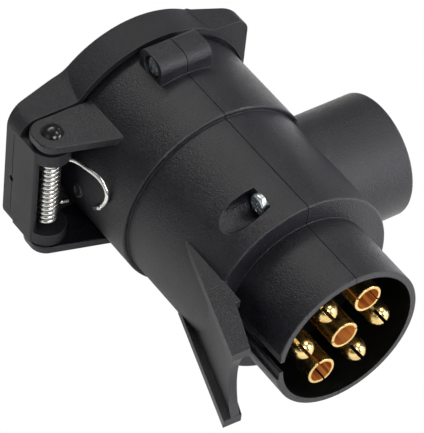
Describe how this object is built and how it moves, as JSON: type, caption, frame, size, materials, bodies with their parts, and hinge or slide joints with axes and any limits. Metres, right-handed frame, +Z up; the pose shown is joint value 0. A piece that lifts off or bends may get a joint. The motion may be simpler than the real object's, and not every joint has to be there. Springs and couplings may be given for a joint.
{
  "type": "trailer wiring adaptor",
  "caption": "Black moulded adaptor with a round pin-and-tube plug at one end, a socket under a sprung hinged lid at the other, a side stub and a flared retention fin.",
  "frame": {"origin": "centre of the plug's seat face, on the plug axis", "axes": "+X out of the plug along its axis, +Y along the side stub, +Z up; the shells meet on the plane y = 0"},
  "size_m": [0.0984, 0.0862, 0.0676],
  "materials": {
    "housing_plastic": "fine textured moulded black",
    "lid_plastic": "fine textured moulded black",
    "carrier_plastic": "smooth moulded black",
    "gasket_rubber": "soft matt black",
    "pin_black": "glossy black",
    "spring_steel": "bright drawn wire",
    "screw_zinc": "bright zinc plate",
    "contact_brass": "bright turned brass",
    "wire_insulation": "satin PVC"
  },
  "bodies": {
    "housing": {"left_housing_shell": "housing_plastic", "right_housing_shell": "housing_plastic", "housing_screws": "screw_zinc", "lid_hinge_pin": "pin_black", "lid_spring": "spring_steel", "plug_contact_carrier": "carrier_plastic", "socket_contact_carrier": "carrier_plastic", "plug_tube_centre": "contact_brass", "plug_tube_upper": "contact_brass", "plug_tube_lower": "contact_brass", "plug_pin_1": "contact_brass", "plug_pin_2": "contact_brass", "plug_pin_3": "contact_brass", "plug_pin_4": "contact_brass", "socket_sleeve_01": "contact_brass", "socket_sleeve_02": "contact_brass", "socket_sleeve_03": "contact_brass", "socket_sleeve_04": "contact_brass", "socket_sleeve_05": "contact_brass", "socket_sleeve_06": "contact_brass", "socket_sleeve_07": "contact_brass", "socket_sleeve_08": "contact_brass", "socket_sleeve_09": "contact_brass", "socket_sleeve_10": "contact_brass", "socket_sleeve_11": "contact_brass", "socket_sleeve_12": "contact_brass", "socket_sleeve_13": "contact_brass", "internal_wire_1": "wire_insulation", "internal_wire_2": "wire_insulation", "internal_wire_3": "wire_insulation", "internal_wire_4": "wire_insulation", "internal_wire_5": "wire_insulation", "internal_wire_6": "wire_insulation", "internal_wire_7": "wire_insulation"},
    "lid": {"socket_lid": "lid_plastic", "lid_gasket": "gasket_rubber"}
  },
  "joints": [
    {"name": "lid_hinge", "type": "hinge", "parent": "housing", "child": "lid", "pos_m": [-0.0598, -0.0356, 0], "axis": [0, 0, 1], "range_deg": [0, 100], "deforming": ["lid_spring"]}
  ]
}
